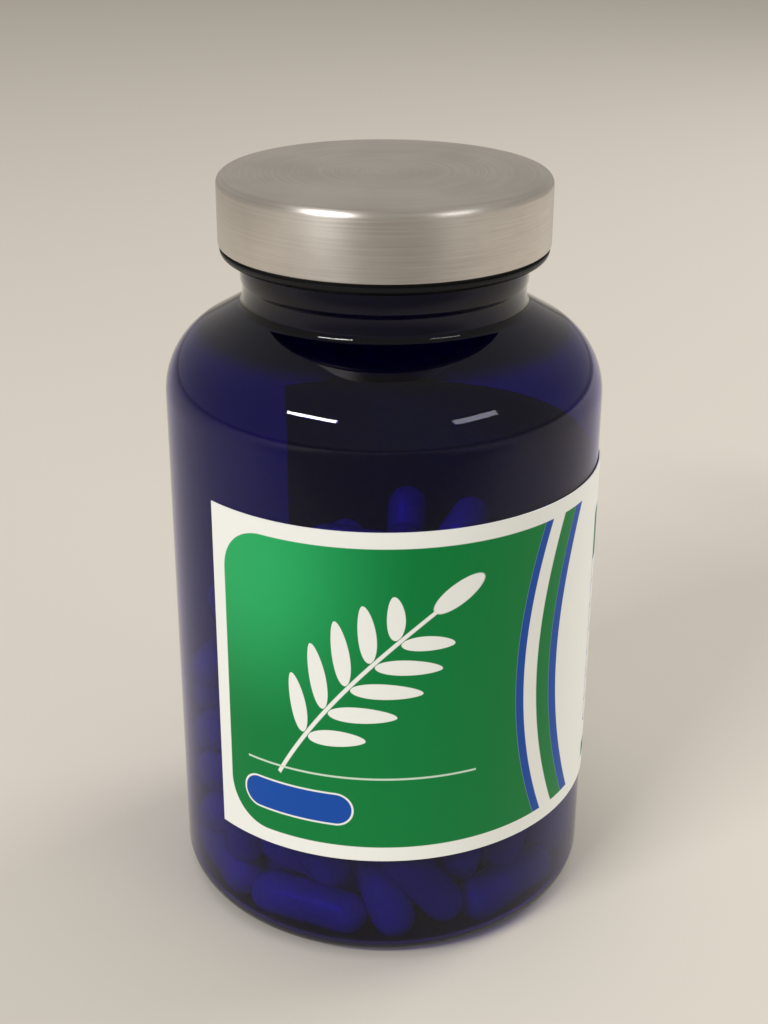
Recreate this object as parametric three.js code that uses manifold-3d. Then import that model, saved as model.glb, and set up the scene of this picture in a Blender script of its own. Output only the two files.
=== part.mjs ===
// A round blue capsule bottle with a wrap label, a metal-clad screw cap and its fill of capsules.
// Millimetres, +Z up, origin at the middle of the base. Angles run from the front (-Y) towards +X.
import * as THREE from "three";
import { mergeVertices } from "three/addons/utils/BufferGeometryUtils.js";
import Module from "manifold-3d";

const wasm = await Module();
wasm.setup();
const { Manifold, Mesh: SolidMesh } = wasm;
const DEGREE = Math.PI / 180;

// Blown bottle
const SIDES = 40;
const BODY_RADIUS = 32.5;
const WALL = 0.75;
const BASE_WALL = 1.1;
const CORNER_WIDTH = 4;
const CORNER_HEIGHT = 4.5;
const REST_RING_INSIDE = 25.5;
const PUSH_UP = 3.2;
const SHOULDER_START = 81.4;
const SHOULDER_RADIUS = 11.2;
const SHOULDER_SWEEP = 60;

// Neck and its thread
const NECK_RADIUS = 20.8;
const NECK_FILLET = 1.6;
const FINISH_RADIUS = 21.05;
const FINISH_STEP = [98, 98.4];
const BORE_RADIUS = 19.2;
const RIM_HEIGHT = 110.1;
const RIM_ROUND = 0.6;
const THREAD_PITCH = 4.23;
const THREAD_HEIGHT = 1.05;
const THREAD_ROOT_WIDTH = 1.9;
const THREAD_CREST_WIDTH = 0.9;
const THREAD_SUNK = 0.4;
const THREAD_RUN_OUT = 0.08;
const NECK_THREAD_LOW = 104;
const NECK_THREAD_TURNS = [0, 1.05];
const CAP_THREAD_LOW = 102.25;
const CAP_THREAD_TURNS = [0.25, 1.25];

// Screw cap: a moulded inner cap in a pressed metal shell, with a sealing disc
const CAP_BORE = 22.4;
const CAP_RADIUS = 23.45;
const CAP_TOP = 112.7;
const CAP_PLATE = 1.4;
const CAP_ROUND = 1;
const CAP_BOTTOM = 101.65;
const CAP_RING_RADIUS = 23.85;
const CAP_RING_TOP = 102.95;
const CAP_RING_ROUND = [1.3, 1.15];
const SHELL_RADIUS = 24.05;
const SHELL_WALL = 0.4;
const SHELL_TOP = 113.3;
const SHELL_BOTTOM = 103.45;
const SHELL_ROUND = 1.3;
const DISC_RADIUS = 22.05;
const DISC_SPAN = [110.25, 111.15];

// Label wrapped on the straight wall, with a bare strip at the back left
const LABEL_SPAN = [18.54, 71.77];
const LABEL_LEFT_EDGE = -47.5;
const LABEL_WRAP = 258.5;
const LABEL_GAP = 0.1;
const LABEL_THICKNESS = 0.2;
const LABEL_STEPS = 36;

// Size 1 capsules
const CAPSULE_COUNT = 120;
const CAPSULE_DIAMETER = 6.91;
const CAPSULE_LENGTH = 19.4;
const CAPSULE_SIDES = 6;
const CAPSULE_FLAT_RADIUS = 3.22;

// How the capsules are poured and come to rest
const SEED = 426;
const POUR_WIDTH = 20;
const POUR_START = 14;
const POUR_RISE = 1.4;
const POUR_UPRIGHT = 4;
const FALL_ROUNDS = 360;
const REST_ROUNDS = 60;
const FIRST_DROP = 0.7;
const LAST_DROP = 0.02;
const PASSES = 6;
const LIST_EVERY = 5;
const LIST_REACH = 11;
const CONTACT_DISTANCE = 6.75;
const CONTACT_SHARE = 0.35;
const WALL_REACH = 27.8;
const FLOOR_CLEARANCE = 4.05;
const PARALLEL_GUARD = 1e-9;

// Points along part of an ellipse, in degrees.
function arc(centreX, centreY, radiusX, radiusY, from, to, steps) {
  const clockwise = to < from;
  const curve = new THREE.EllipseCurve(
    centreX, centreY, radiusX, radiusY, from * DEGREE, to * DEGREE, clockwise,
  );
  return curve.getPoints(steps);
}

const point = (radius, height) => new THREE.Vector2(radius, height);

// A profile of radius and height turned about Z.
function turned(profile) {
  return new THREE.LatheGeometry(profile, SIDES).rotateX(Math.PI / 2);
}

function solidOf(geometry) {
  geometry.deleteAttribute("normal");
  geometry.deleteAttribute("uv");
  const merged = mergeVertices(geometry, 1e-4);
  return new Manifold(new SolidMesh({
    numProp: 3,
    vertProperties: merged.attributes.position.array,
    triVerts: new Uint32Array(merged.index.array),
  }));
}

function geometryOf(solid) {
  const mesh = solid.getMesh();
  const geometry = new THREE.BufferGeometry();
  geometry.setAttribute("position", new THREE.BufferAttribute(mesh.vertProperties, 3));
  geometry.setIndex(new THREE.BufferAttribute(mesh.triVerts, 1));
  geometry.computeVertexNormals();
  return geometry;
}

// The bottle's section: up the outside from the base, over the rim and down the inside.
function bottleProfile() {
  const cornerRadius = BODY_RADIUS - CORNER_WIDTH;
  const shoulderCentre = BODY_RADIUS - SHOULDER_RADIUS;
  const sweep = SHOULDER_SWEEP * DEGREE;
  const slope = 1 / Math.tan(sweep);
  const coneFoot = point(
    shoulderCentre + SHOULDER_RADIUS * Math.cos(sweep),
    SHOULDER_START + SHOULDER_RADIUS * Math.sin(sweep),
  );
  const filletCentre = NECK_RADIUS + NECK_FILLET;
  const filletFoot = filletCentre - NECK_FILLET * Math.cos(sweep);
  const filletHeight = coneFoot.y + (coneFoot.x - filletFoot) * slope + NECK_FILLET * Math.sin(sweep);
  const domeRadius = (REST_RING_INSIDE ** 2 + PUSH_UP ** 2) / (2 * PUSH_UP);
  const domeCentre = PUSH_UP - domeRadius;
  const domeEdge = Math.acos(REST_RING_INSIDE / domeRadius) / DEGREE;
  const insideRadius = SHOULDER_RADIUS - WALL;
  const insideCorner = CORNER_WIDTH - WALL;
  const boreFoot = coneFoot.y + (coneFoot.x - BORE_RADIUS) * slope - 1.5 * WALL;
  const rimStart = RIM_HEIGHT - RIM_ROUND;
  return [
    ...arc(0, domeCentre, domeRadius, domeRadius, 90, domeEdge, 3),
    ...arc(cornerRadius, CORNER_HEIGHT, CORNER_WIDTH, CORNER_HEIGHT, -90, 0, 4),
    ...arc(shoulderCentre, SHOULDER_START, SHOULDER_RADIUS, SHOULDER_RADIUS, 0, SHOULDER_SWEEP, 6),
    ...arc(filletCentre, filletHeight, NECK_FILLET, NECK_FILLET, 180 + SHOULDER_SWEEP, 180, 2),
    point(NECK_RADIUS, FINISH_STEP[0]),
    point(FINISH_RADIUS, FINISH_STEP[1]),
    ...arc(FINISH_RADIUS - RIM_ROUND, rimStart, RIM_ROUND, RIM_ROUND, 0, 90, 2),
    ...arc(BORE_RADIUS + RIM_ROUND, rimStart, RIM_ROUND, RIM_ROUND, 90, 180, 2),
    point(BORE_RADIUS, boreFoot),
    ...arc(shoulderCentre, SHOULDER_START, insideRadius, insideRadius, SHOULDER_SWEEP, 0, 4),
    ...arc(cornerRadius, CORNER_HEIGHT, insideCorner, CORNER_HEIGHT - BASE_WALL, 0, -90, 3),
    ...arc(0, domeCentre, domeRadius + BASE_WALL, domeRadius + BASE_WALL, domeEdge, 90, 2),
  ];
}

// A thread ridge: a straight bar of the thread's section, wound up the axis and faded out at both ends.
function threadRidge(radius, height, low, [firstTurn, lastTurn]) {
  const sunk = -Math.sign(height) * THREAD_SUNK;
  const root = THREAD_ROOT_WIDTH / 2;
  const crest = THREAD_CREST_WIDTH / 2;
  const section = new THREE.Shape([
    point(-root, sunk),
    point(root, sunk),
    point(root, 0),
    point(crest, height),
    point(-crest, height),
    point(-root, 0),
  ]);
  const turns = lastTurn - firstTurn;
  const steps = Math.round(SIDES * turns);
  const bar = new THREE.ExtrudeGeometry(section, { depth: turns, steps, bevelEnabled: false });
  const place = bar.getAttribute("position");
  for (let index = 0; index < place.count; index += 1) {
    const along = place.getZ(index);
    const fromEnd = Math.min(along, turns - along);
    const fade = Math.min(1, 0.1 + fromEnd / THREAD_RUN_OUT);
    const inWall = place.getY(index) * height < 0;
    const reach = radius + (inWall ? sunk : place.getY(index) * fade);
    const angle = (firstTurn + along) * 2 * Math.PI;
    const rise = low + place.getX(index) + THREAD_PITCH * (firstTurn + along);
    place.setXYZ(index, reach * Math.sin(angle), -reach * Math.cos(angle), rise);
  }
  return bar;
}

function bottleSolid() {
  const ridge = threadRidge(FINISH_RADIUS, THREAD_HEIGHT, NECK_THREAD_LOW, NECK_THREAD_TURNS);
  return solidOf(turned(bottleProfile())).add(solidOf(ridge));
}

function capSolid() {
  const plateUnder = CAP_TOP - CAP_PLATE;
  const [ringWidth, ringHeight] = CAP_RING_ROUND;
  const profile = [
    point(0, plateUnder),
    point(CAP_BORE, plateUnder),
    point(CAP_BORE, CAP_BOTTOM),
    ...arc(CAP_RING_RADIUS - ringWidth, CAP_BOTTOM + ringHeight, ringWidth, ringHeight, -90, 0, 3),
    point(CAP_RING_RADIUS, CAP_RING_TOP),
    point(CAP_RADIUS, CAP_RING_TOP),
    ...arc(CAP_RADIUS - CAP_ROUND, CAP_TOP - CAP_ROUND, CAP_ROUND, CAP_ROUND, 0, 90, 2),
    point(0, CAP_TOP),
  ];
  const ridge = threadRidge(CAP_BORE, -THREAD_HEIGHT, CAP_THREAD_LOW, CAP_THREAD_TURNS);
  return solidOf(turned(profile)).add(solidOf(ridge));
}

function shellGeometry() {
  const inside = SHELL_RADIUS - SHELL_WALL;
  const insideTop = SHELL_TOP - SHELL_WALL;
  const insideRound = SHELL_ROUND - SHELL_WALL;
  const roundFoot = SHELL_TOP - SHELL_ROUND;
  const roundCentre = SHELL_RADIUS - SHELL_ROUND;
  return turned([
    point(0, insideTop),
    ...arc(roundCentre, roundFoot, insideRound, insideRound, 90, 0, 3),
    point(inside, SHELL_BOTTOM),
    point(SHELL_RADIUS, SHELL_BOTTOM),
    ...arc(roundCentre, roundFoot, SHELL_ROUND, SHELL_ROUND, 0, 90, 4),
    point(0, SHELL_TOP),
  ]);
}

function discGeometry() {
  const [under, top] = DISC_SPAN;
  return turned([point(0, under), point(DISC_RADIUS, under), point(DISC_RADIUS, top), point(0, top)]);
}

function labelGeometry() {
  const [bottom, top] = LABEL_SPAN;
  const inside = BODY_RADIUS + LABEL_GAP;
  const start = (LABEL_LEFT_EDGE - 90) * DEGREE;
  const end = start + LABEL_WRAP * DEGREE;
  const sheet = new THREE.Shape();
  sheet.absarc(0, 0, inside + LABEL_THICKNESS, start, end, false);
  sheet.absarc(0, 0, inside, end, start, true);
  const shape = { depth: top - bottom, curveSegments: LABEL_STEPS / 2, bevelEnabled: false };
  return new THREE.ExtrudeGeometry(sheet, shape).translate(0, 0, bottom);
}

// Seeded draws from 0 to 1.
function seededDraw(seed) {
  let state = seed;
  return () => {
    state = (Math.imul(state, 1664525) + 1013904223) >>> 0;
    return state / 4294967296;
  };
}

// A random vector no longer than 1.
function drawnVector(draw) {
  for (;;) {
    const x = 2 * draw() - 1;
    const y = 2 * draw() - 1;
    const z = 2 * draw() - 1;
    const size = x * x + y * y + z * z;
    if (size < 1 && size > 0.05) {
      return [x, y, z];
    }
  }
}

const unitRange = (value) => Math.min(1, Math.max(0, value));
const dot = (a, b) => a[0] * b[0] + a[1] * b[1] + a[2] * b[2];

// Where two rods come nearest: the shares along each, and the vector from the second to the first.
function nearest(first, second) {
  const u = [first[3] - first[0], first[4] - first[1], first[5] - first[2]];
  const v = [second[3] - second[0], second[4] - second[1], second[5] - second[2]];
  const w = [first[0] - second[0], first[1] - second[1], first[2] - second[2]];
  const uu = dot(u, u);
  const uv = dot(u, v);
  const vv = dot(v, v);
  const uw = dot(u, w);
  const vw = dot(v, w);
  const open = unitRange((uv * vw - uw * vv) / (uu * vv - uv * uv + PARALLEL_GUARD));
  const t = unitRange((uv * open + vw) / vv);
  const s = unitRange((uv * t - uw) / uu);
  const between = [0, 1, 2].map((axis) => w[axis] + s * u[axis] - t * v[axis]);
  return { s, t, between, distance: Math.sqrt(dot(between, between)) };
}

function nearPairs(rods) {
  const pairs = [];
  for (let first = 0; first < rods.length; first += 1) {
    for (let second = first + 1; second < rods.length; second += 1) {
      if (nearest(rods[first], rods[second]).distance < LIST_REACH) {
        pairs.push([first, second]);
      }
    }
  }
  return pairs;
}

// Touching capsules push each other apart, each rod end by its share.
function pushApart(rods, pairs) {
  const moves = rods.map(() => [0, 0, 0, 0, 0, 0]);
  for (const [first, second] of pairs) {
    const { s, t, between, distance } = nearest(rods[first], rods[second]);
    const spread = (1 - s) * (1 - s) + s * s + (1 - t) * (1 - t) + t * t;
    const push = Math.max(0, CONTACT_SHARE * (CONTACT_DISTANCE - distance)) / (distance * spread);
    for (let axis = 0; axis < 3; axis += 1) {
      moves[first][axis] += (1 - s) * push * between[axis];
      moves[first][axis + 3] += s * push * between[axis];
      moves[second][axis] -= (1 - t) * push * between[axis];
      moves[second][axis + 3] -= t * push * between[axis];
    }
  }
  rods.forEach((rod, index) => rod.forEach((value, axis) => {
    rod[axis] = value + moves[index][axis];
  }));
}

// Keeps a rod at its length, inside the wall and above the domed floor.
function holdRod(rod, length) {
  const along = [rod[3] - rod[0], rod[4] - rod[1], rod[5] - rod[2]];
  const size = Math.sqrt(dot(along, along));
  const share = 0.5 * (size - length) / size;
  for (let axis = 0; axis < 3; axis += 1) {
    rod[axis] += share * along[axis];
    rod[axis + 3] -= share * along[axis];
  }
  for (const end of [0, 3]) {
    const out = Math.sqrt(rod[end] * rod[end] + rod[end + 1] * rod[end + 1]);
    const pull = WALL_REACH / Math.max(out, WALL_REACH);
    rod[end] *= pull;
    rod[end + 1] *= pull;
    const reach = (rod[end] * rod[end] + rod[end + 1] * rod[end + 1]) / (REST_RING_INSIDE * REST_RING_INSIDE);
    const floor = BASE_WALL + PUSH_UP * (1 - Math.min(1, reach)) + FLOOR_CLEARANCE;
    rod[end + 2] = Math.max(rod[end + 2], floor);
  }
}

// The middle lines of the capsules after they are poured in and settle.
function settledRods() {
  const length = CAPSULE_LENGTH - CAPSULE_DIAMETER;
  const draw = seededDraw(SEED);
  const rods = [];
  for (let count = 0; count < CAPSULE_COUNT; count += 1) {
    const [x, y] = drawnVector(draw);
    const [dx, dy, lean] = drawnVector(draw);
    const dz = POUR_UPRIGHT * lean;
    const half = length / 2 / Math.sqrt(dx * dx + dy * dy + dz * dz);
    const middle = [POUR_WIDTH * x, POUR_WIDTH * y, POUR_START + POUR_RISE * count];
    const reach = [half * dx, half * dy, half * dz];
    const low = middle.map((value, axis) => value - reach[axis]);
    const high = middle.map((value, axis) => value + reach[axis]);
    rods.push([...low, ...high]);
  }
  let pairs = [];
  for (let round = 0; round < FALL_ROUNDS + REST_ROUNDS; round += 1) {
    const falling = Math.max(0, 1 - round / FALL_ROUNDS);
    const drop = falling > 0 ? FIRST_DROP * falling + LAST_DROP : 0;
    for (const rod of rods) {
      rod[2] -= drop;
      rod[5] -= drop;
    }
    if (round % LIST_EVERY === 0) {
      pairs = nearPairs(rods);
    }
    for (let pass = 0; pass < PASSES; pass += 1) {
      pushApart(rods, pairs);
      rods.forEach((rod) => holdRod(rod, length));
    }
  }
  return rods;
}

function capsuleSolid(rod) {
  const low = new THREE.Vector3(rod[0], rod[1], rod[2]);
  const high = new THREE.Vector3(rod[3], rod[4], rod[5]);
  const along = high.clone().sub(low).normalize();
  const cornerRadius = CAPSULE_FLAT_RADIUS / Math.cos(Math.PI / CAPSULE_SIDES);
  const straight = CAPSULE_LENGTH - CAPSULE_DIAMETER;
  const geometry = new THREE.CapsuleGeometry(cornerRadius, straight, 2, CAPSULE_SIDES);
  const turn = new THREE.Quaternion().setFromUnitVectors(new THREE.Vector3(0, 1, 0), along);
  geometry.applyQuaternion(turn);
  geometry.translate(...low.add(high).multiplyScalar(0.5).toArray());
  return solidOf(geometry);
}

// All the capsules, joined where they touch.
function fillSolid() {
  return Manifold.union(settledRods().map(capsuleSolid));
}

const MATERIALS = {
  bottle: { color: 0x1c1f6b, roughness: 0.06, metalness: 0, transparent: true, opacity: 0.6 },
  label: { color: 0xe9ebe6, roughness: 0.4, metalness: 0 },
  cap_inner: { color: 0x141415, roughness: 0.35, metalness: 0 },
  cap_shell: { color: 0xb5b1ac, roughness: 0.35, metalness: 1 },
  cap_disc: { color: 0xe6e4dd, roughness: 0.7, metalness: 0 },
  capsules: { color: 0xc9b98c, roughness: 0.25, metalness: 0 },
};

const bottle = new THREE.Group();

function place(name, geometry) {
  const mesh = new THREE.Mesh(geometry, new THREE.MeshStandardMaterial(MATERIALS[name]));
  mesh.name = name;
  bottle.add(mesh);
}

place("bottle", geometryOf(bottleSolid()));
place("label", labelGeometry());
place("cap_inner", geometryOf(capSolid()));
place("cap_shell", shellGeometry());
place("cap_disc", discGeometry());
place("capsules", geometryOf(fillSolid()));

export default bottle;
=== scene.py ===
import math
import bmesh
import bpy
import numpy as np
from mathutils import Matrix, Vector


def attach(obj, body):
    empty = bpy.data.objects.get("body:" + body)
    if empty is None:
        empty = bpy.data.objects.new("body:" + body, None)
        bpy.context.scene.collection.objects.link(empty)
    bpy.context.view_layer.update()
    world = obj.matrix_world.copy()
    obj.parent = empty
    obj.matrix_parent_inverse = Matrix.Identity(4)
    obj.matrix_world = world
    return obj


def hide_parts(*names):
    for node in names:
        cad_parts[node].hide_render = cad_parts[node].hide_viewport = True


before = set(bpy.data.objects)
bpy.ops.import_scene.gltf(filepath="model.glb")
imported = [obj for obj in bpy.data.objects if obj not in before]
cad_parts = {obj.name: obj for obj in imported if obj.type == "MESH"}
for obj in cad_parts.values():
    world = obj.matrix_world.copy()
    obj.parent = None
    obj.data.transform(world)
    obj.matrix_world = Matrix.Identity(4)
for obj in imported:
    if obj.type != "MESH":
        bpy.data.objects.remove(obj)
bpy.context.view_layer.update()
mm = 0.001
full = 2 * math.pi
print("frame loaded:", sorted(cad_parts))


class Shade:
    # one value in a material: plain maths on it adds Math nodes
    def __init__(self, finish, socket):
        self.finish = finish
        self.socket = socket

    def __add__(self, other):
        return self.finish.maths("ADD", self, other)

    def __radd__(self, other):
        return self.finish.maths("ADD", other, self)

    def __sub__(self, other):
        return self.finish.maths("SUBTRACT", self, other)

    def __rsub__(self, other):
        return self.finish.maths("SUBTRACT", other, self)

    def __mul__(self, other):
        return self.finish.maths("MULTIPLY", self, other)

    def __rmul__(self, other):
        return self.finish.maths("MULTIPLY", other, self)

    def __truediv__(self, other):
        return self.finish.maths("DIVIDE", self, other)

    def __abs__(self):
        return self.finish.maths("ABSOLUTE", self)

    def least(self, other):
        return self.finish.maths("MINIMUM", self, other)

    def most(self, other):
        return self.finish.maths("MAXIMUM", self, other)

    def root(self):
        return self.finish.maths("SQRT", self)

    def floor(self):
        return self.finish.maths("FLOOR", self)


class Finish:
    # one material, built node by node
    def __init__(self, name):
        self.material = bpy.data.materials.new(name)
        self.material.use_nodes = True
        self.tree = self.material.node_tree
        self.tree.nodes.clear()

    def add(self, kind, settings, sockets, output=0):
        node = self.tree.nodes.new(kind)
        for name, value in settings.items():
            setattr(node, name, value)
        for name, value in sockets.items():
            if isinstance(value, Shade):
                self.tree.links.new(value.socket, node.inputs[name])
            else:
                node.inputs[name].default_value = value
        return Shade(self, node.outputs[output]) if node.outputs else None

    def maths(self, operation, *values):
        return self.add("ShaderNodeMath", {"operation": operation}, dict(enumerate(values)))

    def place(self):
        return self.add("ShaderNodeTexCoord", {}, {}, "Object")

    def axes(self, vector):
        node = self.add("ShaderNodeSeparateXYZ", {}, {0: vector}).socket.node
        return [Shade(self, socket) for socket in node.outputs]

    def joined(self, x, y, z):
        return self.add("ShaderNodeCombineXYZ", {}, {0: x, 1: y, 2: z})

    def noise(self, vector, scale, detail=2.0, roughness=0.5):
        sockets = {"Vector": vector, "Scale": scale, "Detail": detail, "Roughness": roughness}
        return self.add("ShaderNodeTexNoise", {}, sockets, "Fac")

    def ramp(self, value, low, high, start=0.0, end=1.0):
        sockets = {"Value": value, "From Min": low, "From Max": high, "To Min": start, "To Max": end}
        return self.add("ShaderNodeMapRange", {"interpolation_type": "SMOOTHSTEP"}, sockets)

    def mix(self, first, second, share):
        return self.add("ShaderNodeMix", {"data_type": "RGBA"}, {0: share, 6: first, 7: second}, 2)

    def bump(self, height, strength, distance):
        sockets = {"Height": height, "Strength": strength, "Distance": distance}
        return self.add("ShaderNodeBump", {}, sockets)

    def surface(self, sockets, lampTint=None):
        shader = self.add("ShaderNodeBsdfPrincipled", {}, sockets)
        if lampTint:
            clear = self.add("ShaderNodeBsdfTransparent", {}, {"Color": lampTint})
            lampRay = self.add("ShaderNodeLightPath", {}, {}, "Is Shadow Ray")
            shader = self.add("ShaderNodeMixShader", {}, {0: lampRay, 1: shader, 2: clear})
        self.add("ShaderNodeOutputMaterial", {}, {"Surface": shader})
        return self.material


def arc(centreX, centreY, radiusX, radiusY, fromDeg, toDeg, steps):
    points = []
    for step in range(steps + 1):
        angle = math.radians(fromDeg + (toDeg - fromDeg) * step / steps)
        points.append((centreX + radiusX * math.cos(angle), centreY + radiusY * math.sin(angle)))
    return points


def line(start, end, steps):
    # points after start, up to end
    return [
        (start[0] + (end[0] - start[0]) * step / steps, start[1] + (end[1] - start[1]) * step / steps)
        for step in range(1, steps + 1)
    ]


def turnedMesh(profile, steps):
    # spins a profile of radius and height in mm about the z axis
    bm = bmesh.new()
    verts = [bm.verts.new((0, -radius * mm, height * mm)) for radius, height in profile]
    edges = [bm.edges.new(pair) for pair in zip(verts, verts[1:])]
    bmesh.ops.spin(
        bm, geom=verts + edges, cent=(0, 0, 0), axis=(0, 0, 1), angle=full, steps=steps, use_merge=True
    )
    bmesh.ops.remove_doubles(bm, verts=bm.verts, dist=1e-6)
    bmesh.ops.recalc_face_normals(bm, faces=bm.faces)
    return bm


def pieceFrom(bm, name, body, material, sharpDeg=40):
    mesh = bpy.data.meshes.new(name)
    bm.to_mesh(mesh)
    bm.free()
    mesh.shade_smooth()
    mesh.set_sharp_from_angle(angle=math.radians(sharpDeg))
    piece = bpy.data.objects.new(name, mesh)
    bpy.context.scene.collection.objects.link(piece)
    piece.data.materials.append(material)
    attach(piece, body)
    return piece


def pushThread(bm, thread):
    # raises a helical ridge on a round wall: out of a neck, or into a cap's bore
    pitch, low = thread["pitch"], thread["low"]
    firstTurn, lastTurn = thread["turns"]
    for vert in bm.verts:
        radius = math.hypot(vert.co.x, vert.co.y) / mm
        if abs(radius - thread["radius"]) > 0.02:
            continue
        turn = (math.atan2(vert.co.x, -vert.co.y) / full) % 1
        for lap in (turn - 1, turn, turn + 1):
            fromEnd = min(lap - firstTurn, lastTurn - lap)
            if fromEnd < 0:
                continue
            fade = min(1, fromEnd / thread["runOut"])
            away = abs(vert.co.z / mm - low - pitch * lap)
            rise = (thread["rootHalf"] - away) / (thread["rootHalf"] - thread["crestHalf"])
            rise = max(0, min(1, rise))
            rise = rise * rise * (3 - 2 * rise)
            grown = (radius + thread["height"] * fade * rise) / radius
            if rise > 0:
                vert.co.x *= grown
                vert.co.y *= grown
                break


# blue bottle, mm
bottle = {
    "bodyRadius": 32.5,
    "wall": 0.75,
    "baseWall": 1.1,
    "cornerWidth": 4.0,
    "cornerHeight": 4.5,
    "ringInside": 25.5,
    "pushUp": 3.2,
    "shoulderStart": 81.4,
    "shoulderRadius": 11.2,
    "shoulderSweep": 60.0,
    "neckRadius": 20.8,
    "neckFillet": 1.6,
    "finishRadius": 21.05,
    "finishStep": (98.0, 98.4),
    "threadFoot": 102.6,
    "boreRadius": 19.2,
    "boreFootWalls": 1.5,
    "rimHeight": 110.1,
    "rimRound": 0.6,
    "steps": 160,
    "tint": (0.05, 0.03, 0.31, 1.0),
    # darker glass: thick neck and base walls, and painted shade round the neck's foot
    "thickWallAndShadeTint": (0.004, 0.003, 0.035, 1.0),
    "thickAndShadedAbove": (89.6, 91.6),
    "thickBelow": (0.9, 3.4),
    "lampTint": (0.23, 0.19, 0.56, 1.0),
    "lightBend": 1.34,
}
neckThread = {
    "radius": bottle["finishRadius"],
    "height": 1.05,
    "pitch": 4.23,
    "low": 104.0,
    "turns": (0.0, 1.05),
    "runOut": 0.08,
    "rootHalf": 0.95,
    "crestHalf": 0.45,
}


def bottleProfile(size):
    cornerRadius = size["bodyRadius"] - size["cornerWidth"]
    shoulderCentre = size["bodyRadius"] - size["shoulderRadius"]
    sweep = math.radians(size["shoulderSweep"])
    slope = 1 / math.tan(sweep)
    coneX = shoulderCentre + size["shoulderRadius"] * math.cos(sweep)
    coneY = size["shoulderStart"] + size["shoulderRadius"] * math.sin(sweep)
    fillet = size["neckFillet"]
    filletX = size["neckRadius"] + fillet
    filletY = coneY + (coneX - filletX + fillet * math.cos(sweep)) * slope + fillet * math.sin(sweep)
    domeRadius = (size["ringInside"] ** 2 + size["pushUp"] ** 2) / (2 * size["pushUp"])
    domeY = size["pushUp"] - domeRadius
    domeEdge = math.degrees(math.acos(size["ringInside"] / domeRadius))
    wall, baseWall = size["wall"], size["baseWall"]
    inside = size["shoulderRadius"] - wall
    boreFoot = coneY + (coneX - size["boreRadius"]) * slope - size["boreFootWalls"] * wall
    finishX, rim = size["finishRadius"], size["rimRound"]
    rimY = size["rimHeight"] - rim
    stepLow, stepHigh = size["finishStep"]
    profile = arc(0, domeY, domeRadius, domeRadius, 90, domeEdge, 12)
    profile += arc(cornerRadius, size["cornerHeight"], size["cornerWidth"], size["cornerHeight"], -90, 0, 12)
    profile += line(profile[-1], (size["bodyRadius"], size["shoulderStart"]), 8)
    profile += arc(
        shoulderCentre, size["shoulderStart"], size["shoulderRadius"], size["shoulderRadius"],
        0, size["shoulderSweep"], 16,
    )[1:]
    profile += arc(filletX, filletY, fillet, fillet, 180 + size["shoulderSweep"], 180, 6)
    profile += [(size["neckRadius"], stepLow), (finishX, stepHigh)]
    profile += line(profile[-1], (finishX, size["threadFoot"]), 2)
    profile += line(profile[-1], (finishX, rimY), 28)
    profile += arc(finishX - rim, rimY, rim, rim, 0, 90, 5)[1:]
    profile += arc(size["boreRadius"] + rim, rimY, rim, rim, 90, 180, 5)
    profile += line(profile[-1], (size["boreRadius"], boreFoot), 4)
    profile += arc(shoulderCentre, size["shoulderStart"], inside, inside, size["shoulderSweep"], 0, 12)
    profile += line(profile[-1], (size["bodyRadius"] - wall, size["cornerHeight"]), 8)
    profile += arc(
        cornerRadius, size["cornerHeight"], size["cornerWidth"] - wall, size["cornerHeight"] - baseWall,
        0, -90, 8,
    )[1:]
    profile += arc(0, domeY, domeRadius + baseWall, domeRadius + baseWall, domeEdge, 90, 10)
    return profile


def blueFinish():
    finish = Finish("blueBottle")
    place = finish.place()
    smudge = finish.noise(place, 55.0, 4.0, 0.6)
    wave = finish.noise(place, 38.0, 1.0)
    rough = finish.ramp(smudge, 0.45, 0.75, 0.015, 0.06)
    height = finish.axes(place)[2] / mm
    neck = finish.ramp(height, *bottle["thickAndShadedAbove"])  # thick wall at the neck; round its foot a thicker wall darkened further by painted shade of the dark inside seen through the shoulder
    thickAndShaded = neck.most(finish.ramp(height, *bottle["thickBelow"], 1.0, 0.0))  # and in the base
    return finish.surface({
        "Base Color": finish.mix(bottle["tint"], bottle["thickWallAndShadeTint"], thickAndShaded),
        "Roughness": rough,
        "IOR": bottle["lightBend"],
        "Transmission Weight": 1.0,
        "Normal": finish.bump(wave, 0.12, 0.0004),
    }, bottle["lampTint"])


bottleMesh = turnedMesh(bottleProfile(bottle), bottle["steps"])
pushThread(bottleMesh, neckThread)
bottlePiece = pieceFrom(bottleMesh, "blue_bottle", "bottle", blueFinish())
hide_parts("bottle")
print("bottle made")


# screw cap, mm
capShell = {
    "radius": 24.05,
    "wall": 0.4,
    "top": 113.3,
    "bottom": 103.45,
    "edgeRound": 1.3,
    "topFacing": 0.85,
    "steps": 160,
    "metal": (0.55, 0.51, 0.47, 1.0),
    "wornMetal": (0.69, 0.65, 0.60, 1.0),
    "brushing": 0.75,
}
capInner = {
    "bore": 22.4,
    "radius": 23.45,
    "top": 112.7,
    "plate": 1.4,
    "topRound": 1.0,
    "bottom": 101.65,
    "ringRadius": 23.85,
    "ringTop": 102.95,
    "ringRound": (1.3, 1.15),
    "ringEdge": 0.12,
    "boreEdge": 0.4,
    "steps": 160,
    "black": (0.006, 0.006, 0.007, 1.0),
    "shine": 0.2,
}
capThread = {
    "radius": capInner["bore"],
    "height": -1.05,
    "pitch": 4.23,
    "low": 102.25,
    "turns": (0.25, 1.25),
    "runOut": 0.08,
    "rootHalf": 0.95,
    "crestHalf": 0.45,
}


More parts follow.
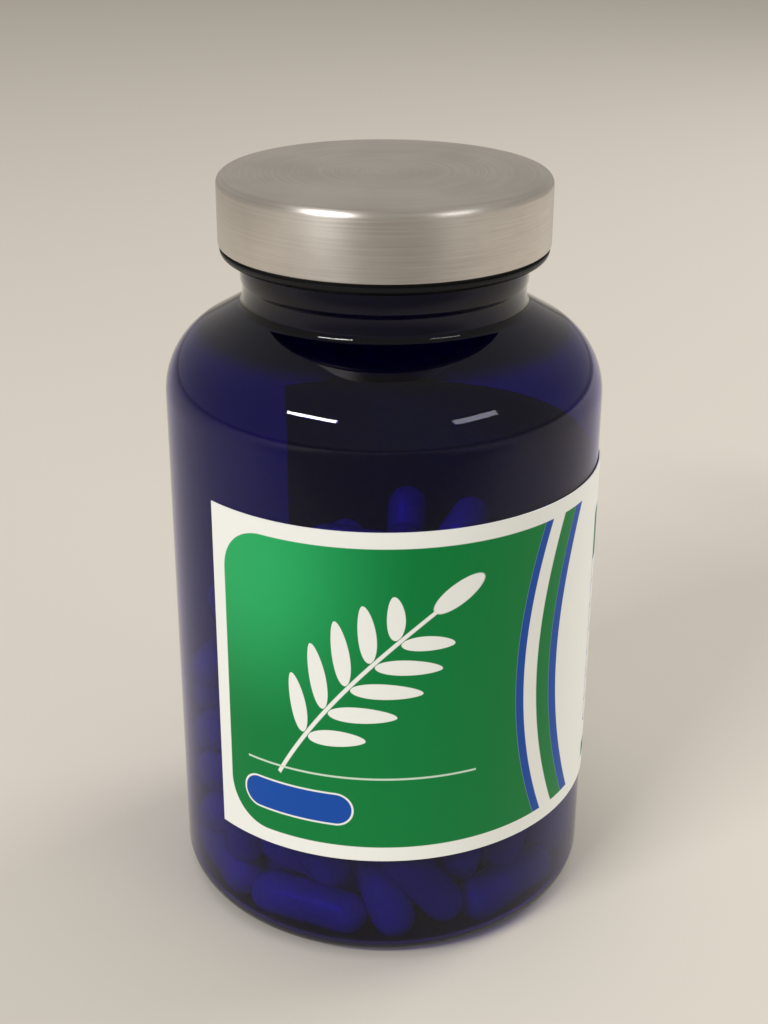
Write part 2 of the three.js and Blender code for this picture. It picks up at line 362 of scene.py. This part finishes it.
def satinMetal(name, brushing):
    finish = Finish(name)
    x, y, z = finish.axes(finish.place())
    radius = (x * x + y * y).root()
    rings = finish.joined(radius * 3200, z * 3200, (x + y) * 60)
    brushed = finish.noise(rings, 1.0, 3.0, 0.7)
    cloud = finish.noise(finish.place(), 60.0, 3.0)
    grain = 0.55 * cloud + 0.45 * brushed
    colour = finish.mix(capShell["metal"], capShell["wornMetal"], finish.ramp(grain, 0.35, 0.65))
    rough = 0.27 + 0.1 * brushed + 0.06 * cloud
    return finish.surface({
        "Base Color": colour,
        "Roughness": rough,
        "Metallic": 1.0,
        "Anisotropic": brushing,
        "Anisotropic Rotation": 0.25,
        "Normal": finish.bump(brushed, 0.12, 0.00005),
    })


def blackPlastic():
    finish = Finish("blackPlastic")
    grain = finish.noise(finish.place(), 900.0, 3.0)
    return finish.surface({
        "Base Color": capInner["black"],
        "Roughness": 0.3 + 0.15 * grain,
        "Specular IOR Level": capInner["shine"],
        "Normal": finish.bump(grain, 0.1, 0.00004),
    })


def shellProfile(size):
    wall, edge = size["wall"], size["edgeRound"]
    inside = size["radius"] - wall
    centre = size["radius"] - edge
    roundY = size["top"] - edge
    hem = wall / 2
    profile = [(0, size["top"] - wall), (centre * 0.5, size["top"] - wall)]
    profile += arc(centre, roundY, edge - wall, edge - wall, 90, 0, 6)
    profile += arc(inside + hem, size["bottom"] + hem, hem, hem, 180, 360, 6)
    profile += arc(centre, roundY, edge, edge, 0, 90, 12)
    profile += line(profile[-1], (0, size["top"]), 6)
    return profile


def innerProfile(size):
    ringX, ringY = size["ringRound"]
    plateUnder = size["top"] - size["plate"]
    topRound, ringEdge = size["topRound"], size["ringEdge"]
    profile = [(0, plateUnder), (size["bore"], plateUnder)]
    profile += line(profile[-1], (size["bore"], size["bottom"] + size["boreEdge"]), 40)
    profile += arc(size["ringRadius"] - ringX, size["bottom"] + ringY, ringX, ringY, -90, 0, 8)
    profile += [
        (size["ringRadius"], size["ringTop"] - ringEdge),
        (size["ringRadius"] - ringEdge, size["ringTop"]),
        (size["radius"], size["ringTop"]),
    ]
    profile += arc(size["radius"] - topRound, size["top"] - topRound, topRound, topRound, 0, 90, 4)
    profile += [(0, size["top"])]
    return profile


shellMesh = turnedMesh(shellProfile(capShell), capShell["steps"])
for face in shellMesh.faces:
    # the top is satin, the side brushed round
    face.material_index = 1 if face.normal.z > capShell["topFacing"] else 0
shellPiece = pieceFrom(
    shellMesh, "cap_metal", "cap", satinMetal("brushedAluminium", capShell["brushing"])
)
shellPiece.data.materials.append(satinMetal("satinAluminium", 0.0))
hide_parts("cap_shell")
innerMesh = turnedMesh(innerProfile(capInner), capInner["steps"])
pushThread(innerMesh, capThread)
innerPiece = pieceFrom(innerMesh, "cap_black", "cap", blackPlastic())
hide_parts("cap_inner")
print("cap made")


# wrap label, mm and degrees from the front towards +x
label = {
    "radius": 32.62,
    "thickness": 0.14,
    "bottom": 18.54,
    "top": 71.77,
    "leftEdge": -47.5,
    "wrap": 258.5,
    "steps": 130,
    "white": (0.88, 0.885, 0.84, 1.0),
    "green": (0.0, 0.2, 0.042, 1.0),
    "glow": (0.02, 0.40, 0.12, 1.0),
    "blue": (0.004, 0.07, 0.38, 1.0),
    "shine": 0.2,
    "palePrint": (0.62, 0.76, 0.62, 1.0),
    "soft": 0.07,
    "panel": (2.4, 70.0, 2.4, 50.8),
    "panelRound": 7.0,
    "bowCentre": (112.0, 26.6),
    "panelBow": 64.5,
    "glowPlace": (7.0, 47.0),
    "glowReach": (26.0, 30.0),
    "bands": ((63.0, 64.5, "blue"), (57.6, 60.4, "green"), (55.8, 57.6, "blue")),
    "bandEnd": (66.0, 66.2),
    "pill": (14.0, 8.6, 8.6, 2.5),
    "pillEdge": 0.3,
    "rule": (6.0, 41.0, 14.2, 0.16),
    "sprigStart": (14.5, 18.5),
    "sprigTurn": 48.0,
    "sprigLength": 31.0,
    "sprigBend": 0.006,
    "leafPitch": 5.2,
    "leafReach": 8.2,
    "leafHalf": 1.75,
    "leafLean": 0.75,
    "leafPairs": 5,
    "leafLongest": 1.6,
    "leafShrink": 0.055,
    "leafRoot": (0.35, 0.45),
    "leafTaper": (1.12, 0.35),
    "leafTrim": 0.08,
    "tipLeaf": (3.0, 4.2, 1.7),
    "stemHalf": 0.3,
    "stemTail": 6.0,
    "table": (70.0, 102.0, 9.0, 46.0),
    "tableRow": 4.1,
    "tableRound": 1.2,
    "tableColumn": 9.0,
    "frameHalf": 0.14,
    "lineHalf": 0.09,
    "footTop": 5.2,
    "footEdge": (2.4, 2.5),
    "footStart": 106.0,
}


def labelPrint(finish, x, y):
    soft = label["soft"]

    def inside(distance):
        return finish.ramp(distance, -soft, soft, 1.0, 0.0)

    def roundBox(left, right, low, high, corner):
        acrossX = abs(x - (left + right) / 2) - ((right - left) / 2 - corner)
        acrossY = abs(y - (low + high) / 2) - ((high - low) / 2 - corner)
        outX, outY = acrossX.most(0.0), acrossY.most(0.0)
        return (outX * outX + outY * outY).root() + acrossX.most(acrossY).least(0.0) - corner

    bowX = x - label["bowCentre"][0]
    bowY = y - label["bowCentre"][1]
    bow = (bowX * bowX + bowY * bowY).root()

    # green panel with a lighter corner, cut by a bowed edge
    left, right, low, high = label["panel"]
    panel = inside(roundBox(left, right, low, high, label["panelRound"]).most(label["panelBow"] - bow))
    glowX = (x - label["glowPlace"][0]) / label["glowReach"][0]
    glowY = (y - label["glowPlace"][1]) / label["glowReach"][1]
    glow = finish.ramp((glowX * glowX + glowY * glowY).root(), 0.1, 1.0, 1.0, 0.0)
    colour = finish.mix(label["white"], finish.mix(label["green"], label["glow"], glow), panel)

    # bowed bands on the white
    rim = inside((low - y).most(y - high))
    for near, far, ink in label["bands"]:
        band = inside((near - bow).most(bow - far)) * finish.ramp(x, *label["bandEnd"], 1.0, 0.0)
        colour = finish.mix(colour, label[ink], band * rim)

    # leafy sprig: paired leaflets along a bent stem
    turn = math.radians(label["sprigTurn"])
    fromX = x - label["sprigStart"][0]
    fromY = y - label["sprigStart"][1]
    along = fromX * math.cos(turn) + fromY * math.sin(turn)
    across = fromY * math.cos(turn) - fromX * math.sin(turn)
    across = abs(across - label["sprigBend"] * along * (label["sprigLength"] - along))
    leaning = along - across * label["leafLean"]
    cell = (leaning / label["leafPitch"]).floor()
    offset = abs(leaning - (cell + 0.5) * label["leafPitch"])
    fromLongest = cell - label["leafLongest"]
    reach = label["leafReach"] * (1.0 - label["leafShrink"] * fromLongest * fromLongest)
    share = ((across - label["leafRoot"][0]) / reach).most(0.0).least(1.0)
    wide, narrowing = label["leafTaper"]
    width = label["leafHalf"] * (4.0 * share * (1.0 - share)).root() * (wide - narrowing * share)
    leaf = inside(offset - width + label["leafTrim"]) * finish.ramp(across, *label["leafRoot"])
    pastLast = finish.ramp(cell, label["leafPairs"] - 0.6, label["leafPairs"] - 0.4, 1.0, 0.0)
    leaf = leaf * finish.ramp(cell, -0.6, -0.4) * pastLast
    tipOut, tipLong, tipWide = label["tipLeaf"]
    tipX = (along - label["sprigLength"] - tipOut) / tipLong
    tipY = across / tipWide
    tip = inside(((tipX * tipX + tipY * tipY).root() - 1.0) * tipWide)
    stemEnds = (0.0 - along - label["stemTail"]).most(along - label["sprigLength"])
    stem = inside((across - label["stemHalf"]).most(stemEnds))
    colour = finish.mix(colour, label["white"], leaf.most(tip).most(stem))

    # thin rule and a plain pill under the sprig
    ruleLeft, ruleRight, ruleY, ruleHalf = label["rule"]
    rule = inside(roundBox(ruleLeft, ruleRight, ruleY - ruleHalf, ruleY + ruleHalf, 0.1))
    colour = finish.mix(colour, label["palePrint"], rule)
    pillX, pillY, pillHalf, pillHigh = label["pill"]
    pill = roundBox(pillX - pillHalf, pillX + pillHalf, pillY - pillHigh, pillY + pillHigh, pillHigh - 0.05)
    colour = finish.mix(colour, label["white"], inside(pill - label["pillEdge"]))
    colour = finish.mix(colour, label["blue"], inside(pill))

    # ruled table on the back
    left, right, low, high = label["table"]
    tableBox = roundBox(left, right, low, high, label["tableRound"])
    frameLine = inside(abs(tableBox) - label["frameHalf"])
    rowY = (y - low) / label["tableRow"]
    rowLine = inside(abs(rowY - (rowY + 0.5).floor()) * label["tableRow"] - label["lineHalf"])
    inTable = inside(tableBox)
    columnLine = inside(abs(x - (right - label["tableColumn"])) - label["lineHalf"])
    header = inside(high - 2 * label["tableRow"] - y)
    colour = finish.mix(colour, label["green"], inTable * header)
    lines = frameLine.most(inTable * rowLine.most(columnLine) * (1.0 - header))
    colour = finish.mix(colour, label["blue"], lines)
    footHigh = y - label["footTop"]
    underTable = inside(footHigh.most(x - right).most(left - x))
    foot = inside(footHigh.most(label["footStart"] - x)).most(underTable)
    return finish.mix(colour, label["green"], foot * finish.ramp(y, *label["footEdge"]))


def printedPaper():
    finish = Finish("printedLabel")
    x, y, _ = finish.axes(finish.add("ShaderNodeUVMap", {"uv_map": "wrap"}, {}))
    fibre = finish.noise(finish.place(), 2600.0, 3.0)
    cloud = finish.noise(finish.place(), 90.0, 3.0)
    return finish.surface({
        "Base Color": labelPrint(finish, x, y),
        "Roughness": 0.3 + 0.1 * cloud + 0.05 * fibre,
        "Specular IOR Level": label["shine"],
        "Normal": finish.bump(fibre, 0.06, 0.00003),
    })


def barePaper():
    finish = Finish("labelBack")
    fibre = finish.noise(finish.place(), 700.0, 4.0, 0.7)
    return finish.surface({
        "Base Color": finish.mix((0.60, 0.60, 0.56, 1.0), (0.72, 0.72, 0.68, 1.0), fibre),
        "Roughness": 0.65 + 0.15 * fibre,
    })


def labelMesh():
    bm = bmesh.new()
    start = math.radians(label["leftEdge"])
    radius = label["radius"] * mm
    corner = (radius * math.sin(start), -radius * math.cos(start))
    heights = [label["bottom"] + (label["top"] - label["bottom"]) * step / 4 for step in range(5)]
    verts = [bm.verts.new((*corner, height * mm)) for height in heights]
    edges = [bm.edges.new(pair) for pair in zip(verts, verts[1:])]
    bmesh.ops.spin(
        bm, geom=verts + edges, cent=(0, 0, 0), axis=(0, 0, 1),
        angle=math.radians(label["wrap"]), steps=label["steps"],
    )
    bm.normal_update()
    wrong = [face for face in bm.faces if face.normal.xy.dot(face.calc_center_median().xy) < 0]
    bmesh.ops.reverse_faces(bm, faces=wrong)
    bmesh.ops.solidify(bm, geom=list(bm.faces), thickness=-label["thickness"] * mm)
    bmesh.ops.recalc_face_normals(bm, faces=bm.faces)
    wrap = bm.loops.layers.uv.new("wrap")
    for face in bm.faces:
        middle = face.calc_center_median()
        outward = face.normal.xy.dot(middle.xy.normalized())
        face.material_index = 1 if outward < -0.5 else 0
        for loop in face.loops:
            turn = math.atan2(loop.vert.co.x, -loop.vert.co.y) - start
            turn = turn if turn > -0.01 else turn + full
            loop[wrap].uv = (turn * label["radius"], loop.vert.co.z / mm - label["bottom"])
    return bm


labelPiece = pieceFrom(labelMesh(), "wrap_label", "bottle", printedPaper())
labelPiece.data.materials.append(barePaper())
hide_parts("label")
print("label made")


# loose capsules, mm: poured and settled step for step as in the part, then drawn finer
capsule = {
    "count": 120,
    "diameter": 6.91,
    "bodyDiameter": 6.63,
    "length": 19.4,
    "capLength": 9.78,
    "capLip": (0.04, 0.15),
    "sides": 16,
    "powder": (0.90, 0.84, 0.72, 1.0),
    "darkPowder": (0.78, 0.70, 0.56, 1.0),
}
pour = {
    "seed": 426,
    "upright": 4.0,
    "width": 20.0,
    "start": 14.0,
    "rise": 1.4,
    "fallRounds": 360,
    "restRounds": 60,
    "firstDrop": 0.7,
    "lastDrop": 0.02,
    "passes": 6,
    "listEvery": 5,
    "listReach": 11.0,
    "contact": 6.75,
    "share": 0.35,
    "wallReach": 27.8,
    "floorClearance": 4.05,
    "guard": 1e-9,
}


def seededDraw(seed):
    state = seed
    while True:
        state = (state * 1664525 + 1013904223) & 0xFFFFFFFF
        yield state / 4294967296


def drawnVector(draw):
    while True:
        x, y, z = (2 * next(draw) - 1 for _ in range(3))
        size = x * x + y * y + z * z
        if 0.05 < size < 1:
            return x, y, z


def dot(a, b):
    return a[:, 0] * b[:, 0] + a[:, 1] * b[:, 1] + a[:, 2] * b[:, 2]


def nearest(rods, first, second):
    u = rods[first, 1] - rods[first, 0]
    v = rods[second, 1] - rods[second, 0]
    w = rods[first, 0] - rods[second, 0]
    uu, uv, vv, uw, vw = dot(u, u), dot(u, v), dot(v, v), dot(u, w), dot(v, w)
    loose = np.clip((uv * vw - uw * vv) / (uu * vv - uv * uv + pour["guard"]), 0, 1)
    t = np.clip((uv * loose + vw) / vv, 0, 1)
    s = np.clip((uv * t - uw) / uu, 0, 1)
    between = w + s[:, None] * u - t[:, None] * v
    return s, t, between, np.sqrt(dot(between, between))


def pushApart(rods, first, second):
    s, t, between, distance = nearest(rods, first, second)
    spread = (1 - s) * (1 - s) + s * s + (1 - t) * (1 - t) + t * t
    push = np.maximum(0, pour["share"] * (pour["contact"] - distance)) / (distance * spread)
    moves = np.zeros_like(rods)
    np.subtract.at(moves[:, 0], second, ((1 - t) * push)[:, None] * between)
    np.subtract.at(moves[:, 1], second, (t * push)[:, None] * between)
    np.add.at(moves[:, 0], first, ((1 - s) * push)[:, None] * between)
    np.add.at(moves[:, 1], first, (s * push)[:, None] * between)
    rods += moves


def holdRods(rods, length):
    # each rod keeps its length, stays inside the wall and above the domed floor
    along = rods[:, 1] - rods[:, 0]
    size = np.sqrt(dot(along, along))
    move = (0.5 * (size - length) / size)[:, None] * along
    rods[:, 0] += move
    rods[:, 1] -= move
    out = np.sqrt(rods[:, :, 0] * rods[:, :, 0] + rods[:, :, 1] * rods[:, :, 1])
    rods[:, :, :2] *= (pour["wallReach"] / np.maximum(out, pour["wallReach"]))[:, :, None]
    square = rods[:, :, 0] * rods[:, :, 0] + rods[:, :, 1] * rods[:, :, 1]
    reach = np.minimum(1, square / (bottle["ringInside"] * bottle["ringInside"]))
    floor = bottle["baseWall"] + bottle["pushUp"] * (1 - reach) + pour["floorClearance"]
    rods[:, :, 2] = np.maximum(rods[:, :, 2], floor)


def settledRods():
    length = capsule["length"] - capsule["diameter"]
    draw = seededDraw(pour["seed"])
    rods = np.zeros((capsule["count"], 2, 3))
    for count in range(capsule["count"]):
        x, y, _ = drawnVector(draw)
        dx, dy, lean = drawnVector(draw)
        dz = pour["upright"] * lean
        half = length / 2 / math.sqrt(dx * dx + dy * dy + dz * dz)
        middle = np.array((pour["width"] * x, pour["width"] * y, pour["start"] + pour["rise"] * count))
        reach = np.array((half * dx, half * dy, half * dz))
        rods[count] = middle - reach, middle + reach
    allFirst, allSecond = np.triu_indices(capsule["count"], 1)
    for step in range(pour["fallRounds"] + pour["restRounds"]):
        falling = max(0, 1 - step / pour["fallRounds"])
        rods[:, :, 2] -= pour["firstDrop"] * falling + pour["lastDrop"] if falling > 0 else 0
        if step % pour["listEvery"] == 0:
            near = nearest(rods, allFirst, allSecond)[3] < pour["listReach"]
            first, second = allFirst[near], allSecond[near]
        for _ in range(pour["passes"]):
            pushApart(rods, first, second)
            holdRods(rods, length)
    return rods


def capsuleMesh():
    # a two-piece capsule along z: the wider cap slides over the body
    half = capsule["length"] / 2
    body, cap = capsule["bodyDiameter"] / 2, capsule["diameter"] / 2
    edge = half - capsule["capLength"]
    profile = arc(0, body - half, body, body, -90, 0, 4)
    lipIn, lipUp = capsule["capLip"]
    profile += [(body, edge), (cap - lipIn, edge), (cap, edge + lipUp)]
    profile += arc(0, half - cap, cap, cap, 0, 90, 4)
    bm = turnedMesh(profile, capsule["sides"])
    mesh = bpy.data.meshes.new("capsuleShape")
    bm.to_mesh(mesh)
    bm.free()
    return mesh


def capsuleFinish():
    finish = Finish("filledCapsules")
    place = finish.place()
    speck = finish.noise(place, 1500.0, 4.0, 0.7)
    batch = finish.noise(place, 130.0, 2.0)
    share = finish.ramp(0.6 * speck + 0.4 * batch, 0.35, 0.65)
    return finish.surface({
        "Base Color": finish.mix(capsule["darkPowder"], capsule["powder"], share),
        "Roughness": 0.35 + 0.1 * speck,
        "Coat Weight": 0.8,
        "Coat Roughness": 0.08,
    })


capsuleShape = capsuleMesh()
fillMesh = bmesh.new()
for low, high in settledRods():
    known = len(fillMesh.verts)
    fillMesh.from_mesh(capsuleShape)
    fillMesh.verts.ensure_lookup_table()
    along = Vector(high - low)
    turn = along.to_track_quat("Z", "Y").to_matrix().to_4x4()
    place = Matrix.Translation(Vector(low + high) / 2) @ turn
    matrix = Matrix.Scale(mm, 4) @ place @ Matrix.Scale(1 / mm, 4)
    bmesh.ops.transform(fillMesh, matrix=matrix, verts=fillMesh.verts[known:])
fillPiece = pieceFrom(fillMesh, "loose_capsules", "bottle", capsuleFinish())
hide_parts("capsules")
print("capsules settled")


def foamFinish():
    finish = Finish("foamDisc")
    cells = finish.noise(finish.place(), 1800.0, 3.0)
    return finish.surface({
        "Base Color": finish.mix((0.74, 0.72, 0.66, 1.0), (0.84, 0.82, 0.77, 1.0), cells),
        "Roughness": 0.75 + 0.15 * cells,
        "Normal": finish.bump(cells, 0.25, 0.0001),
    })


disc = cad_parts["cap_disc"]
disc.data.materials.clear()
disc.data.materials.append(foamFinish())
print("disc finished")


# floor, light and camera, metres
studio = {
    "floorSize": 14.0,
    "floor": (0.60, 0.56, 0.50, 1.0),
    "shade": (0.23, 0.215, 0.195, 1.0),
    "shadeAhead": (0.06, 0.22),
    "shadeAside": (0.2, 0.5),
    "shadeEnd": (0.5, 1.1),
    "sky": (1.0, 0.955, 0.88, 1.0),
    "skyStrength": 0.45,
    "lamps": (
        ("keyLeft", (-0.62, -0.70, 0.75), (0.5, 0.07), 8.0, (0.0, 0.0, 0.06), True),
        ("fillRight", (0.75, -0.60, 0.65), (0.45, 0.12), 1.2, (0.0, 0.0, 0.06), True),
        ("sideRight", (0.8, 0.45, 0.55), (0.5, 0.5), 5.0, (0.25, -0.1, 0.0), False),
        ("overhead", (0.0, 0.1, 1.4), (1.2, 1.0), 4.0, (0.0, 0.0, 0.0), False),
    ),
}
view = {"place": (0.00007, -0.2287, 0.1623), "down": 24.043, "roll": 0.257, "lens": 56.67, "sensor": 36.0}


def floorFinish():
    finish = Finish("paleFloor")
    place = finish.place()
    cloud = finish.noise(place, 3.0, 2.0)
    x, y, _ = finish.axes(place)
    shade = finish.ramp(0.0 - y, *studio["shadeAhead"])  # a soft shadow on the viewer's side
    shade = shade * finish.ramp(abs(x), *studio["shadeAside"], 1.0, 0.0)
    shade = shade * finish.ramp(0.0 - y, *studio["shadeEnd"], 1.0, 0.0)
    colour = finish.mix(studio["floor"], studio["shade"], shade)
    return finish.surface({"Base Color": colour, "Roughness": 0.7 + 0.1 * cloud})


floorMesh = bmesh.new()
bmesh.ops.create_grid(floorMesh, x_segments=2, y_segments=2, size=studio["floorSize"] / 2)
floorData = bpy.data.meshes.new("floor")
floorMesh.to_mesh(floorData)
floorMesh.free()
floor = bpy.data.objects.new("floor", floorData)
floorData.materials.append(floorFinish())
bpy.context.scene.collection.objects.link(floor)

for name, place, size, power, aim, mirrored in studio["lamps"]:
    lamp = bpy.data.lights.new(name, "AREA")
    lamp.shape = "RECTANGLE"
    lamp.size, lamp.size_y = size
    lamp.energy = power
    holder = bpy.data.objects.new(name, lamp)
    holder.location = place
    holder.visible_glossy = mirrored
    holder.visible_transmission = mirrored
    holder.rotation_euler = (Vector(aim) - Vector(place)).to_track_quat("-Z", "Y").to_euler()
    bpy.context.scene.collection.objects.link(holder)

world = bpy.data.worlds.new("softRoom")
world.use_nodes = True
sky = world.node_tree.nodes["Background"]
sky.inputs["Color"].default_value = studio["sky"]
sky.inputs["Strength"].default_value = studio["skyStrength"]
bpy.context.scene.world = world
bpy.context.scene.view_settings.view_transform = "Standard"

cameraData = bpy.data.cameras.new("camera")
cameraData.lens = view["lens"]
cameraData.sensor_width = view["sensor"]
cameraData.clip_start = 0.01
camera = bpy.data.objects.new("camera", cameraData)
tilt = Matrix.Rotation(math.radians(90 - view["down"]), 4, "X")
roll = Matrix.Rotation(math.radians(view["roll"]), 4, "Z")
camera.matrix_world = Matrix.Translation(view["place"]) @ tilt @ roll
bpy.context.scene.collection.objects.link(camera)
bpy.context.scene.camera = camera
print("floor, light and camera set")
